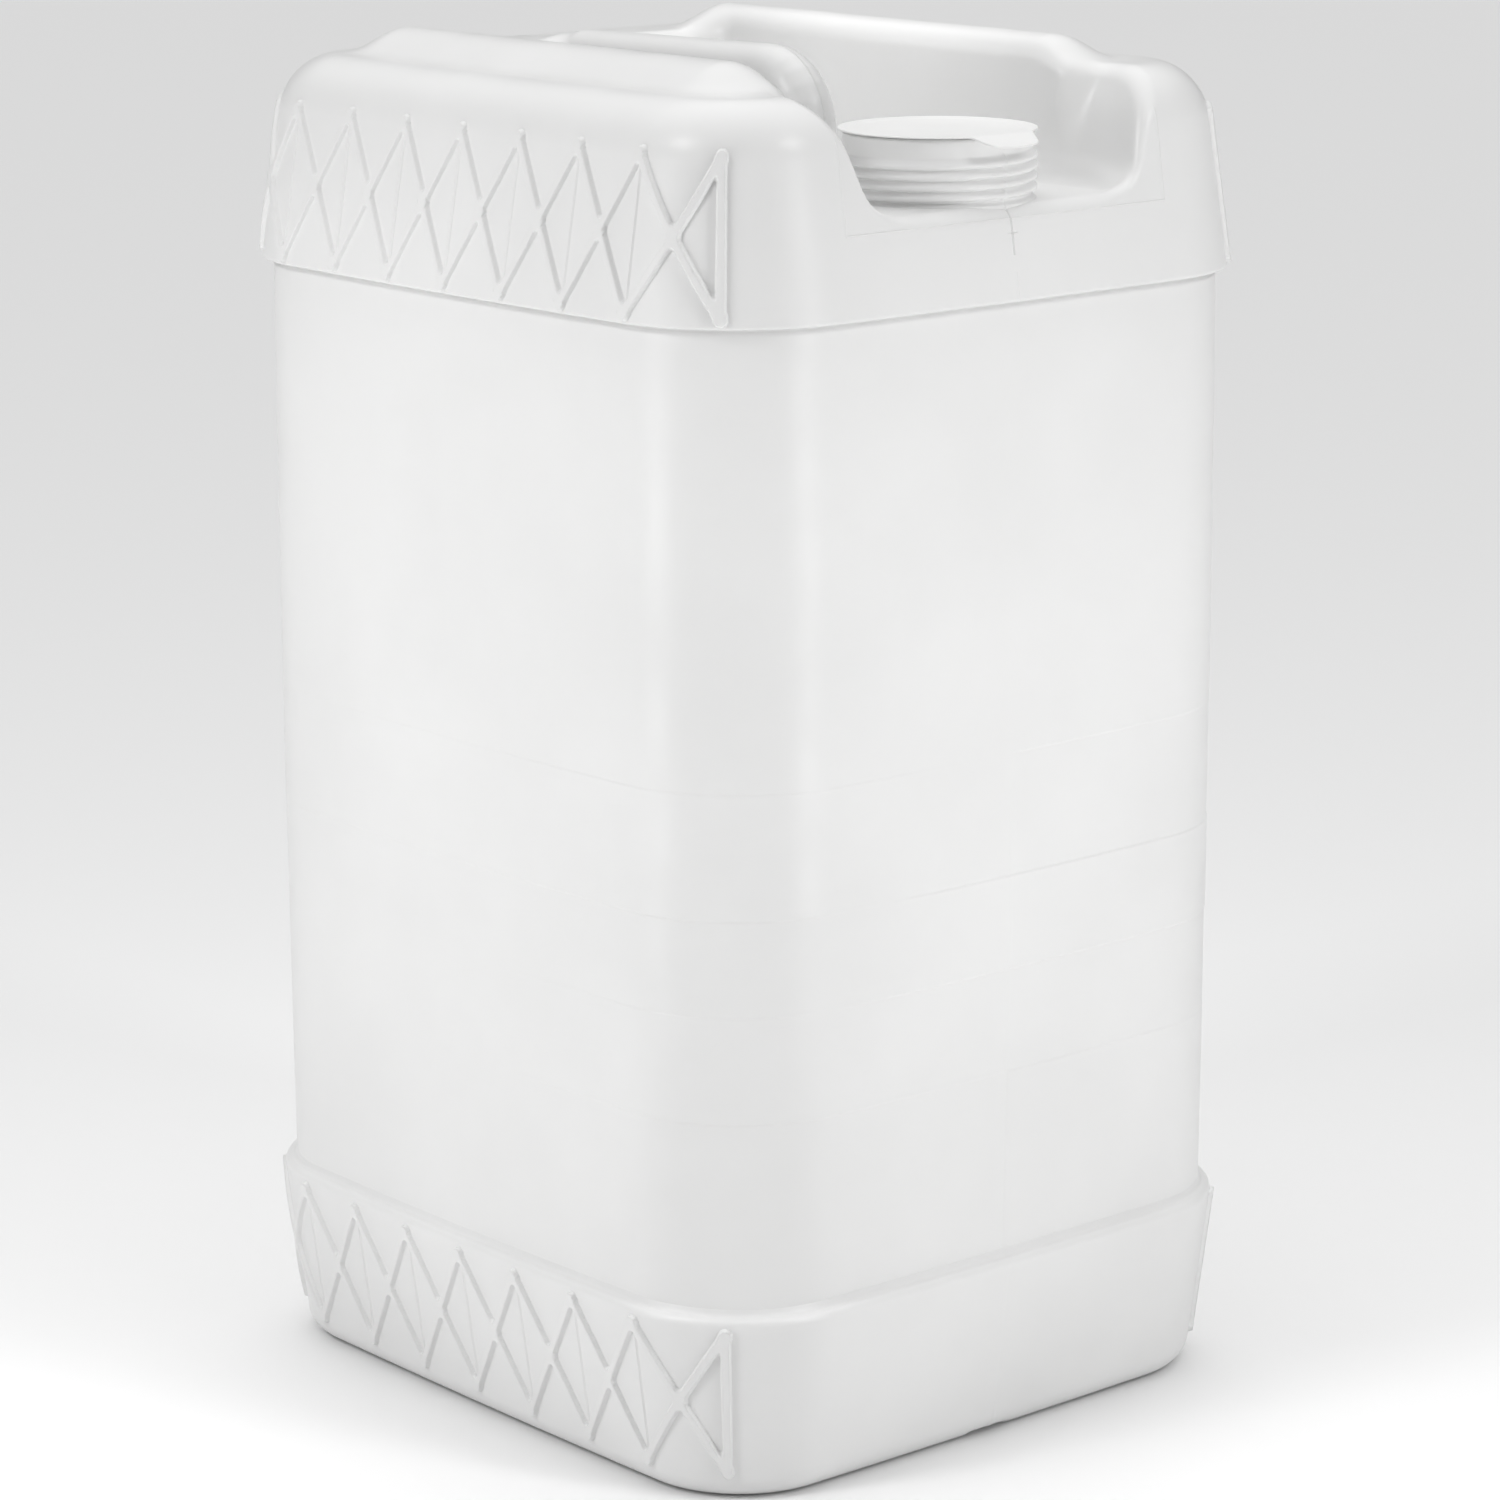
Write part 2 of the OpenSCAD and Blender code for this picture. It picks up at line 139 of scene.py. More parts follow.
def round_min(a, b, r):
    """Both a and b together, with the corner between them filled to radius r."""
    return -round_max(-a, -b, r)


def side_distance(x, y, grow, bow, bulge=0.0):
    """Distance in plan from the body's outline, moved out by grow, with its faces bowed."""
    half_x = HALF_W + grow + (bow * SIDE_BOW + bulge) * (1 - (y / HALF_D) ** 2)
    half_y = HALF_D + grow + (bow * FRONT_BOW + bulge) * (1 - (x / HALF_W) ** 2)
    r = CORNER_R + grow
    qx, qy = np.abs(x) - half_x + r, np.abs(y) - half_y + r
    return np.hypot(np.maximum(qx, 0), np.maximum(qy, 0)) + np.minimum(np.maximum(qx, qy), 0) - r


def band_side(x, y, z):
    """The upper band's side faces, which draw in towards the shoulder."""
    rise = np.clip((z - BAND_Z) / (CURVE_Z - BAND_Z), -0.5, 1.4)
    grow = BAND_PROUD - rise * (BAND_PROUD + BAND_IN)
    return side_distance(x, y, grow, 1 - np.clip(rise, 0, 1) * (1 - CURVE_BOW))


def segment_distance(y, z, a, b):
    """Distance in the YZ plane from the line between two points."""
    along = np.array(b, float) - np.array(a, float)
    t = np.clip(((y - a[0]) * along[0] + (z - a[1]) * along[1]) / (along @ along), 0, 1)
    return np.hypot(y - a[0] - t * along[0], z - a[1] - t * along[1])


def handle_line():
    """The handle's centre line in the YZ plane, from the rear shoulder to the foot of its post."""
    rear = [(TROUGH_REAR + 24, HANDLE_Z - 9), (TROUGH_REAR + 8, HANDLE_Z - 1.5)]
    bend = []
    reach = HANDLE_REACH
    for step in range(7):
        turn = math.radians(80 * step / 6)
        bend.append((-HANDLE_FRONT - reach * math.sin(turn), HANDLE_Z - reach * (1 - math.cos(turn))))
    foot = [(bend[-1][0] - 3, POCKET_Z - HAND_DIP - 6)]
    return rear + bend + foot


HANDLE_LINE = handle_line()


def handle_distance(x, y, z):
    """Distance from the handle bar."""
    flat = np.full(np.broadcast(y, z).shape, 1e3)
    for a, b in zip(HANDLE_LINE, HANDLE_LINE[1:]):
        flat = np.minimum(flat, segment_distance(y, z, a, b))
    return np.hypot(x, flat) - HANDLE_R


def ridge_distance(x, y, z):
    """Distance from the nearer of the two side ridges."""
    run = np.clip(y, RIDGE_FRONT + RIDGE_R, RIDGE_REAR - RIDGE_R)
    return np.sqrt((np.abs(x) - RIDGE_X) ** 2 + (y - run) ** 2 + (z - TOP_Z + RIDGE_R) ** 2) - RIDGE_R


def smooth_step(t):
    """0 below 0, 1 above 1, and an even S between them."""
    t = np.clip(t, 0, 1)
    return t * t * (3 - 2 * t)


def hollow_distance(x, y, z):
    """Distance from the air in the trough, the neck pocket and the pour notch."""
    dip = HAND_DIP * smooth_step((y + 56) / 42)
    floor = POCKET_Z - dip - z
    lean = np.clip((z - POCKET_Z) / (SHOULDER_Z - POCKET_Z), -0.3, 1.5)
    wide = np.abs(x) - TROUGH_HALF - 2.0 * lean
    rear = y - TROUGH_REAR - TROUGH_LEAN * lean
    walls = round_max(wide, rear, WALL_FILLET)
    trough = round_max(walls, -y + NECK_Y - 30.0, TROUGH_FRONT_R)
    rise, height = z - POCKET_Z - TROUGH_R, SHOULDER_Z - POCKET_Z - TROUGH_R
    open_side = np.abs(x) - NOTCH_LOW - (NOTCH_TOP - NOTCH_LOW) * rise / height
    notch = round_max(open_side * 0.88, y - NECK_Y, TROUGH_FRONT_R)
    return round_max(round_min(trough, notch, NOTCH_FILLET), floor, TROUGH_R)


def top_solid(x, y, z):
    """The upper band, shoulder, ridges and handle as a solid, with no lower end."""
    shape = round_max(band_side(x, y, z), z - SHOULDER_Z, SHOULDER_R)
    shape = round_min(shape, ridge_distance(x, y, z), RIDGE_FILLET)
    shape = round_max(shape, -hollow_distance(x, y, z), RIM_FILLET)
    return round_min(shape, handle_distance(x, y, z), HANDLE_FILLET)


def top_shell(x, y, z):
    """The moulding's top as a shell, open below and at the neck."""
    solid = top_solid(x, y, z)
    inside = np.maximum(solid + SEEN_WALL, side_distance(x, y, -WALL + np.maximum(z - BAND_Z, 0), 1.0))
    outside = round_max(solid, BAND_Z - z, EDGE_R)
    bore = np.hypot(x, y - NECK_Y) - BORE_R
    return np.maximum(np.maximum(outside, -inside), -bore)


# ---------------------------------------------------------------- mesh helpers

def make_object(name, points, faces, material, normals=None):
    """A smooth-shaded mesh object from points in millimetres. faces is a list of arrays of corners."""
    mesh = bpy.data.meshes.new(name)
    sizes = np.concatenate([np.full(len(f), f.shape[1]) for f in faces])
    corners = np.concatenate([f.ravel() for f in faces])
    mesh.vertices.add(len(points))
    mesh.vertices.foreach_set("co", (np.asarray(points) * MM).astype(np.float32).ravel())
    mesh.loops.add(len(corners))
    mesh.loops.foreach_set("vertex_index", corners.astype(np.int32))
    mesh.polygons.add(len(sizes))
    mesh.polygons.foreach_set("loop_start", (np.cumsum(sizes) - sizes).astype(np.int32))
    mesh.update(calc_edges=True)
    mesh.validate()
    mesh.polygons.foreach_set("use_smooth", np.ones(len(mesh.polygons), bool))
    if normals is not None:
        plain = np.empty(len(points) * 3, np.float32)
        mesh.vertex_normals.foreach_get("vector", plain)
        plain = plain.reshape(-1, 3)
        stray = (plain * normals).sum(axis=1) < 0.6
        normals = np.where(stray[:, None], plain, normals)
        mesh.normals_split_custom_set_from_vertices(normals.tolist())
    mesh.materials.append(material)
    made = bpy.data.objects.new(name, mesh)
    bpy.context.scene.collection.objects.link(made)
    return made


def gradient(field, points, step=0.02):
    """The unit direction in which field grows, at each point, and how fast it grows."""
    grown = np.empty_like(points)
    for axis in range(3):
        shift = np.zeros(3)
        shift[axis] = step
        ahead, behind = points + shift, points - shift
        grown[:, axis] = (field(*ahead.T) - field(*behind.T)) / (2 * step)
    size = np.linalg.norm(grown, axis=1, keepdims=True)
    return grown / np.maximum(size, 1e-9), np.maximum(size[:, 0], 0.2)


def settle(field, points, rounds=3, limit=0.8):
    """Moves points along field's slope until they lie where field is zero."""
    for _ in range(rounds):
        way, slope = gradient(field, points)
        move = np.clip(field(*points.T) / slope, -limit, limit)
        points = points - way * move[:, None]
    return points


CUBE = np.array([(i, j, k) for i in (0, 1) for j in (0, 1) for k in (0, 1)])
CUBE_EDGES = [(a, b) for a in range(8) for b in range(a + 1, 8) if abs(CUBE[a] - CUBE[b]).sum() == 1]


def surface_net(field, xs, ys, zs):
    """Points and four-sided faces of field's zero surface on a grid of planes."""
    grid = field(xs[:, None, None], ys[None, :, None], zs[None, None, :])
    cells = tuple(n - 1 for n in grid.shape)
    corner = [grid[i:i + cells[0], j:j + cells[1], k:k + cells[2]] for i, j, k in CUBE]
    inside = sum((c < 0).astype(np.int8) for c in corner)
    active = np.argwhere((inside > 0) & (inside < 8))
    index = np.full(cells, -1, np.int64)
    index[tuple(active.T)] = np.arange(len(active))
    values = np.stack([c[tuple(active.T)] for c in corner], axis=1)
    total = np.zeros((len(active), 3))
    count = np.zeros(len(active))
    for a, b in CUBE_EDGES:
        va, vb = values[:, a], values[:, b]
        cut = (va < 0) != (vb < 0)
        t = np.where(cut, va / np.where(cut, va - vb, 1), 0)[:, None]
        total += np.where(cut[:, None], CUBE[a] + t * (CUBE[b] - CUBE[a]), 0)
        count += cut
    at = total / count[:, None]
    axes = (xs, ys, zs)
    points = np.stack([
        axes[k][active[:, k]] + at[:, k] * (axes[k][active[:, k] + 1] - axes[k][active[:, k]])
        for k in range(3)
    ], axis=1)
    faces = []
    for axis in range(3):
        one, two = (axis + 1) % 3, (axis + 2) % 3
        low = [slice(1, -1)] * 3
        low[axis] = slice(0, -1)
        high = list(low)
        high[axis] = slice(1, None)
        a, b = grid[tuple(low)] < 0, grid[tuple(high)] < 0
        for flip in (False, True):
            where = np.argwhere((a & ~b) if not flip else (~a & b))
            base = where + 1
            base[:, axis] -= 1
            ring = []
            for back_one, back_two in ((1, 1), (0, 1), (0, 0), (1, 0)):
                cell = base.copy()
                cell[:, one] -= back_one
                cell[:, two] -= back_two
                ring.append(index[tuple(cell.T)])
            ring = np.stack(ring if not flip else ring[::-1], axis=1)
            faces.append(ring)
    return points, np.concatenate(faces)


def grid_faces(rows, columns, close_rows=False, close_columns=True):
    """Faces of a grid of points, numbered row by row."""
    r = np.arange(rows if close_rows else rows - 1)[:, None]
    c = np.arange(columns if close_columns else columns - 1)[None, :]
    up, on = (r + 1) % rows, (c + 1) % columns
    quads = [r * columns + c, r * columns + on, up * columns + on, up * columns + c]
    return np.stack([np.broadcast_to(q, (r.size, c.size)) for q in quads], axis=-1).reshape(-1, 4)


# ---------------------------------------------------------------- materials

def noise(nodes, links, coordinates, scale, detail=2.0):
    """A noise texture over the object's own coordinates."""
    texture = nodes.new("ShaderNodeTexNoise")
    texture.inputs["Scale"].default_value = scale
    texture.inputs["Detail"].default_value = detail
    links.new(coordinates, texture.inputs["Vector"])
    return texture.outputs["Fac"]


def remap(nodes, links, value, low, high, to_low, to_high):
    """value from low..high moved to to_low..to_high, and kept between them."""
    node = nodes.new("ShaderNodeMapRange")
    node.inputs["From Min"].default_value = low
    node.inputs["From Max"].default_value = high
    node.inputs["To Min"].default_value = to_low
    node.inputs["To Max"].default_value = to_high
    links.new(value, node.inputs["Value"])
    return node.outputs["Result"]


def mix_colour(nodes, links, factor, a, b):
    """Colour a where factor is 0, and b where it is 1."""
    node = nodes.new("ShaderNodeMix")
    node.data_type = "RGBA"
    for socket, colour in ((node.inputs["A"], a), (node.inputs["B"], b)):
        if isinstance(colour, tuple):
            socket.default_value = colour
        else:
            links.new(colour, socket)
    links.new(factor, node.inputs["Factor"])
    return node.outputs["Result"]


def bump(nodes, links, height, depth, normal=None):
    """A bump of that depth in metres, on top of another bump if there is one."""
    node = nodes.new("ShaderNodeBump")
    node.inputs["Strength"].default_value = 1.0
    node.inputs["Distance"].default_value = depth
    links.new(height, node.inputs["Height"])
    if normal is not None:
        links.new(normal, node.inputs["Normal"])
    return node.outputs["Normal"]


def mark(nodes, links, place, low, high, soft=0.25):
    """1 inside a box from low to high, in millimetres, and 0 outside it."""
    def vector(operation, a, b=None):
        node = nodes.new("ShaderNodeVectorMath")
        node.operation = operation
        links.new(a, node.inputs[0])
        if b is not None:
            node.inputs[1].default_value = b
        return node.outputs["Vector"]

    middle = [(a + b) / 2 * MM for a, b in zip(low, high)]
    half = [(b - a) / 2 * MM for a, b in zip(low, high)]
    beyond = vector("SUBTRACT", vector("ABSOLUTE", vector("SUBTRACT", place, middle)), half)
    split = nodes.new("ShaderNodeSeparateXYZ")
    links.new(beyond, split.inputs["Vector"])
    most = split.outputs["X"]
    for axis in "YZ":
        node = nodes.new("ShaderNodeMath")
        node.operation = "MAXIMUM"
        links.new(most, node.inputs[0])
        links.new(split.outputs[axis], node.inputs[1])
        most = node.outputs["Value"]
    return remap(nodes, links, most, -soft * MM, soft * MM, 1.0, 0.0)


def polyethylene(name, colour, roughness, marks=()):
    """White blown polyethylene: soft clouds of tone, a fine skin and faint waves."""
    material = bpy.data.materials.new(name)
    material.use_nodes = True
    nodes, links = material.node_tree.nodes, material.node_tree.links
    shader = nodes["Principled BSDF"]
    place = nodes.new("ShaderNodeTexCoord").outputs["Object"]
    clouds = noise(nodes, links, place, 14.0, 3.0)
    dull = tuple(0.965 * c for c in colour[:3]) + (1,)
    tone = mix_colour(nodes, links, remap(nodes, links, clouds, 0.35, 0.65, 0, 1), colour, dull)
    links.new(tone, shader.inputs["Base Color"])
    gloss = noise(nodes, links, place, 55.0, 4.0)
    rough = remap(nodes, links, gloss, 0.3, 0.7, roughness - 0.04, roughness + 0.06)
    links.new(rough, shader.inputs["Roughness"])
    skin = bump(nodes, links, noise(nodes, links, place, 900.0, 2.0), 0.00001)
    surface = bump(nodes, links, noise(nodes, links, place, 22.0, 1.0), 0.00035, skin)
    for low, high, depth in marks:
        surface = bump(nodes, links, mark(nodes, links, place, low, high), depth * MM, surface)
    links.new(surface, shader.inputs["Normal"])
    shader.inputs["IOR"].default_value = 1.5
    return material


# Fine lines that the mould left on the top: the edge of an insert round the notch, the parting line
# with its small cross, and the parting line over the handle: [low corner, high corner, height]
FRONT, INSERT_Z = -HALF_D - 9, POCKET_Z - 3.5
MOULD_LINES = (
    ((-67, FRONT, INSERT_Z - 0.15), (67, NECK_Y - 20, INSERT_Z + 0.15), 0.22),
    ((-67.3, FRONT, INSERT_Z), (-66.8, NECK_Y - 20, SHOULDER_Z - 12), 0.14),
    ((66.8, FRONT, INSERT_Z), (67.3, NECK_Y - 20, SHOULDER_Z - 12), 0.14),
    ((-0.2, FRONT, INSERT_Z - 11), (0.2, NECK_Y - 26, POCKET_Z + 2), -0.3),
    ((-1.9, FRONT, INSERT_Z - 4.6), (1.9, NECK_Y - 26, INSERT_Z - 4.2), -0.25),
    ((-0.2, FRONT, BAND_Z), (0.2, NECK_Y - 26, BAND_Z + 9), 0.15),
    ((-0.25, -52, POCKET_Z), (0.25, TROUGH_REAR, TOP_Z), 0.2),
)
WHITE = polyethylene("white_polyethylene", (0.82, 0.82, 0.817, 1), 0.36)
TOP_WHITE = polyethylene("white_polyethylene_top", (0.82, 0.82, 0.817, 1), 0.36, MOULD_LINES)
MILKY = polyethylene("milky_seal_film", (0.86, 0.86, 0.855, 1), 0.5)


# ---------------------------------------------------------------- camera

AZIMUTH, ELEVATION, ROLL = math.radians(-40.41), math.radians(13.87), math.radians(-0.22)
CAMERA_DISTANCE, TARGET_Z = 1662.8, 192.8
LENS, SHIFT = 118.75, (0.0054, 0.0288)


def make_camera():
    """The camera, aimed at the container's axis and rolled a little."""
    back = np.array([math.sin(AZIMUTH) * math.cos(ELEVATION), -math.cos(AZIMUTH) * math.cos(ELEVATION),
                     math.sin(ELEVATION)])
    right = np.cross(-back, (0, 0, 1))
    right /= np.linalg.norm(right)
    up = np.cross(right, -back)
    tilted_right = right * math.cos(ROLL) + up * math.sin(ROLL)
    tilted_up = up * math.cos(ROLL) - right * math.sin(ROLL)
    place = (np.array([0, 0, TARGET_Z]) + back * CAMERA_DISTANCE) * MM
    data = bpy.data.cameras.new("camera")
    data.lens, data.sensor_width = LENS, 36.0
    data.shift_x, data.shift_y = SHIFT
    data.clip_start, data.clip_end = 0.05, 100.0
    camera = bpy.data.objects.new("camera", data)
    turned = np.eye(4)
    turned[:3, 0], turned[:3, 1], turned[:3, 2], turned[:3, 3] = tilted_right, tilted_up, back, place
    camera.matrix_world = Matrix(turned.tolist())
    bpy.context.scene.collection.objects.link(camera)
    bpy.context.scene.camera = camera


make_camera()


# ---------------------------------------------------------------- the top of the moulding

def planes(low, high, step):
    """Evenly spaced values from low to high, about step apart."""
    return np.linspace(low, high, int(round((high - low) / step)) + 1)


def make_top():
    """The whole top as one surface: band, shoulder, ridges, trough, notch and handle."""
    step = 1.5
    xs = planes(-HALF_W - 9, HALF_W + 9, step)
    ys = planes(-HALF_D - 9, HALF_D + 9, step)
    fine = BAND_Z + np.array([-1.2, -0.6, 0.0, 0.5, 1.0, 1.6, 2.4, 3.4])
    zs = np.concatenate([fine, planes(BAND_Z + 4.6, TOP_Z + 3, step)])
    points, faces = surface_net(top_shell, xs, ys, zs)
    points = settle(top_shell, points)
    normals, _ = gradient(top_shell, points, 0.1)
    return make_object("top", points, [faces], TOP_WHITE, normals)


top = make_top()
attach(top, "container")
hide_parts("upper_band", "shoulder_left", "shoulder_right", "trough",
            "side_ridge_left", "side_ridge_right", "carry_handle")


# ---------------------------------------------------------------- the body's wall and the base pan

def around():
    """Anchors and directions, seen from above, that go once round the body: [x, y, way x, way y]."""
    fine = [-9.6, -9.0, -8.4, -7.8, -7.2, -4, -1.2, -0.5, 0, 0.5, 1.2, 4, 7.2, 7.8, 8.4, 9.0, 9.6]
    run_x = np.array(sorted(set(np.linspace(-HALF_W + CORNER_R, HALF_W - CORNER_R, 27)[1:-1]) | set(fine)))
    run_y = np.linspace(-HALF_D + CORNER_R, HALF_D - CORNER_R, 31)[1:-1]
    cx, cy = HALF_W - CORNER_R, HALF_D - CORNER_R
    parts = []
    for side, turn in enumerate((-90, 0, 90, 180)):
        if side == 0:
            anchors = [(x, -cy) for x in run_x]
        elif side == 1:
            anchors = [(cx, y) for y in run_y]
        elif side == 2:
            anchors = [(x, cy) for x in run_x[::-1]]
        else:
            anchors = [(-cx, y) for y in run_y[::-1]]
        way = math.radians(turn)
        parts += [(x, y, math.cos(way), math.sin(way)) for x, y in anchors]
        corner = ((cx, -cy), (cx, cy), (-cx, cy), (-cx, -cy))[side]
        for step in range(37):
            way = math.radians(turn + 90 * step / 36)
            parts.append((*corner, math.cos(way), math.sin(way)))
    return np.array(parts)


def out_to(anchors, distance, rounds=5):
    """Points on each anchor's way out at which distance(x, y) is zero."""
    reach = np.full(np.broadcast(anchors[..., 0], distance(anchors[..., 0], anchors[..., 1])).shape, CORNER_R)
    for _ in range(rounds):
        x = anchors[..., 0] + anchors[..., 2] * reach
        y = anchors[..., 1] + anchors[..., 3] * reach
        reach = reach - distance(x, y)
    return anchors[..., 0] + anchors[..., 2] * reach, anchors[..., 1] + anchors[..., 3] * reach


# Where the mould's segments met: share of the wall's height, turns from the front in degrees, and the
# step's size at each turn, which STEP_GAIN brings to millimetres
STEP_GAIN = 2.4
STEPS = (
    (0.535, (-180, -90, -48, -30, -6, 0, 0.4, 60, 180),
     (0.0, -0.03, -0.09, -0.05, 0, 0, 0.07, 0.05, 0.0)),
    (0.405, (-180, -90, -48, -30, -22, -12, 20, 60, 180),
     (0.05, 0.05, 0.13, 0.06, 0, -0.09, -0.12, -0.06, 0.05)),
    (0.305, (-180, -80, -48, -36, -24, 0, 60, 180),
     (0.0, 0.0, -0.07, -0.06, 0.07, 0.15, 0.12, 0.0)),
    (0.193, (-180, -80, -48, -30, 0, 0.4, 60, 180),
     (0.0, 0.0, 0.08, 0.06, 0.03, -0.06, -0.06, 0.0)),
)
STEP_HEIGHTS = [WALL_Z + share * (BAND_Z - WALL_Z) for share, _, _ in STEPS]


def witness(x, y, z):
    """Tiny steps where the mould's segments met: how far the wall stands out, in millimetres."""
    turn = np.degrees(np.arctan2(x, -y))
    proud = 0
    for place, (_, turns, sizes) in zip(STEP_HEIGHTS, STEPS):
        rise = smooth_step((z - place) / 0.5 + 0.5) - 0.5
        proud = proud + STEP_GAIN * np.interp(turn, turns, sizes) * rise
    seam = np.exp(-(x / 0.45) ** 2) * np.where(np.abs(y) > HALF_D - 4, 1, 0)
    return proud - 0.14 * seam * (1 - smooth_step((z - (WALL_Z + LINE_RUN)) / 10))



def wall_rows():
    """Heights of the wall's rows of points, close together at each step and below the upper band."""
    rows = list(np.linspace(WALL_Z - 5, BAND_Z + 1.5, 84))
    rows = [z for z in rows if min(abs(z - place) for place in STEP_HEIGHTS) > 1.3]
    rows += [place + d for place in STEP_HEIGHTS for d in (-1.2, -0.5, -0.25, 0, 0.25, 0.5, 1.2)]
    rows = [z for z in rows if abs(z - BAND_Z + 1.2) > 1.6]
    rows += [BAND_Z + d for d in (-2.6, -1.7, -1.4, -1.1, -0.8, 0.2)]
    return sorted(rows)


def make_wall():
    """The bowed tube between the bands, outside and inside."""
    z = np.array(wall_rows())[:, None]
    anchors = around()[None]
    u = np.clip(2 * (z - WALL_Z) / (BAND_Z - WALL_Z) - 1, -1.1, 1.1)
    bulge = MID_BULGE * (1 - u * u)
    x, y = out_to(anchors, lambda px, py: side_distance(px, py, 0.0, 1.0, bulge))
    proud = witness(x, y, z) - RELIEF * smooth_step((z - BAND_Z + 1.75) / 1.0)
    x, y = x + anchors[..., 2] * proud, y + anchors[..., 3] * proud
    x_in, y_in = out_to(anchors, lambda px, py: side_distance(px, py, -WALL, 1.0, bulge[[-1, 0]]))
    x, y = np.concatenate([x, x_in]), np.concatenate([y, y_in])
    heights = np.broadcast_to(np.concatenate([z, z[[-1, 0]]]), x.shape)
    points = np.stack([x, y, heights], axis=-1).reshape(-1, 3)
    return make_object("body_wall", points, [grid_faces(*x.shape, close_rows=True)], WHITE)


def pan_profile():
    """The lower band from the raised middle of the base to its lip: rows of [z, grow, bow]."""
    foot = -FOOT_IN - FOOT_R
    rows = [(BASE_PUSH, foot - FOOT_RING - 14, FOOT_BOW), (BASE_PUSH, foot - FOOT_RING - 4, FOOT_BOW),
            (BASE_PUSH - 0.4, foot - FOOT_RING - 2.6, FOOT_BOW), (0.4, foot - FOOT_RING - 0.8, FOOT_BOW),
            (0, foot - FOOT_RING, FOOT_BOW)]
    rows += [(0, foot - FOOT_RING * part, FOOT_BOW) for part in (0.97, 0.66, 0.33, 0.05)]
    for step in range(11):
        turn = math.radians(9 * step)
        rows.append((FOOT_R * (1 - math.cos(turn)), -FOOT_IN - FOOT_R * (1 - math.sin(turn)), FOOT_BOW))
    low = LIP_Z - LIP_R
    for step in range(1, 18):
        part = step / 18
        rows.append((FOOT_R + part * (low - FOOT_R), -FOOT_IN + part * (LIP_PROUD + FOOT_IN),
                     FOOT_BOW + part * (1 - FOOT_BOW)))
    for step in range(9):
        turn = math.radians(11.25 * step)
        rows.append((low + LIP_R * math.sin(turn), LIP_PROUD - LIP_R * (1 - math.cos(turn)), 1))
    fillet = ((0.15, 1.0), (0.7, 0.45), (1.6, 0.1), (2.9, -0.3), (2.9, -1.9))
    rows += [(LIP_Z + dz, grow, 1) for dz, grow in fillet]
    return np.array(rows)


def make_pan():
    """The lower band and base, with the channel and the flash at the parting plane."""
    rows = pan_profile()[:, None]
    anchors = around()[None]
    x, y = out_to(anchors, lambda px, py: side_distance(px, py, rows[..., 1], rows[..., 2]))
    z = np.broadcast_to(rows[..., 0], x.shape)
    channel = smooth_step((PINCH_W / 2 + 0.9 - np.abs(x)) / 1.8)
    raised = 0.5 * (z + PINCH_DEPTH + np.hypot(z - PINCH_DEPTH, 0.5))
    z = z + channel * np.where(z < BASE_PUSH - 0.01, np.maximum(raised - z, 0), 0)
    seam = np.exp(-(x / 0.5) ** 2) * np.where(np.abs(y) > HALF_D - 14, 1, 0)
    flash = seam * smooth_step((14 - z) / 12) * smooth_step((z - 1) / 2) * 0.5 - seam * 0.05
    x, y = x + anchors[..., 2] * flash, y + anchors[..., 3] * flash
    points = np.stack([x, y, z], axis=-1).reshape(-1, 3)
    middle = np.arange(x.shape[1])[None, ::-1]
    return make_object("base_pan", points, [grid_faces(*x.shape), middle], WHITE)


wall = make_wall()
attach(wall, "container")
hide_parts("body_wall")
pan = make_pan()
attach(pan, "container")
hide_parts("base_pan")


# ---------------------------------------------------------------- the grip ribs

def rib_anchor(along):
    """Anchors and ways out on the +X face, by the distance along it from the front corner's middle."""
    quarter = CORNER_R * math.pi / 4
    flat = 2 * (HALF_D - CORNER_R)
    beyond = along - quarter - flat
    turn = np.where(along < quarter, (along - quarter) / CORNER_R, np.where(beyond > 0, beyond / CORNER_R, 0))
    y = np.clip(along - quarter, 0, flat) - HALF_D + CORNER_R
    return np.stack([np.full_like(y, HALF_W - CORNER_R), y, np.cos(turn), np.sin(turn)], axis=-1)


def rib_height(along, z, low, high):
    """How far the lattice stands out of the band."""
    start = math.pi / 4 * CORNER_R + HALF_D - CORNER_R - RIB_PANELS * RIB_PITCH / 2

    def distance(a, b):
        way = np.array([b[0] - a[0], b[1] - a[1]])
        t = np.clip(((along - a[0]) * way[0] + (z - a[1]) * way[1]) / (way @ way), 0, 1)
        return np.hypot(along - a[0] - t * way[0], z - a[1] - t * way[1])

    thick, thin = np.full(along.shape, 1e3), np.full(along.shape, 1e3)
    for panel in range(RIB_PANELS + 1):
        x = start + panel * RIB_PITCH
        upright = distance((x, low), (x, high))
        if panel in (0, RIB_PANELS):
            thick = round_min(thick, upright - RIB_HALF, 1.4)
        else:
            thin = np.minimum(thin, upright - THIN_HALF)
        if panel < RIB_PANELS:
            thick = round_min(thick, distance((x, low), (x + RIB_PITCH, high)) - RIB_HALF, 1.4)
            thick = round_min(thick, distance((x + RIB_PITCH, low), (x, high)) - RIB_HALF, 1.4)
    tall = 1.2 * RIB_PROUD * smooth_step(-thick / 0.85)
    return np.maximum(tall, 0.6 * smooth_step(-thin / 0.6))


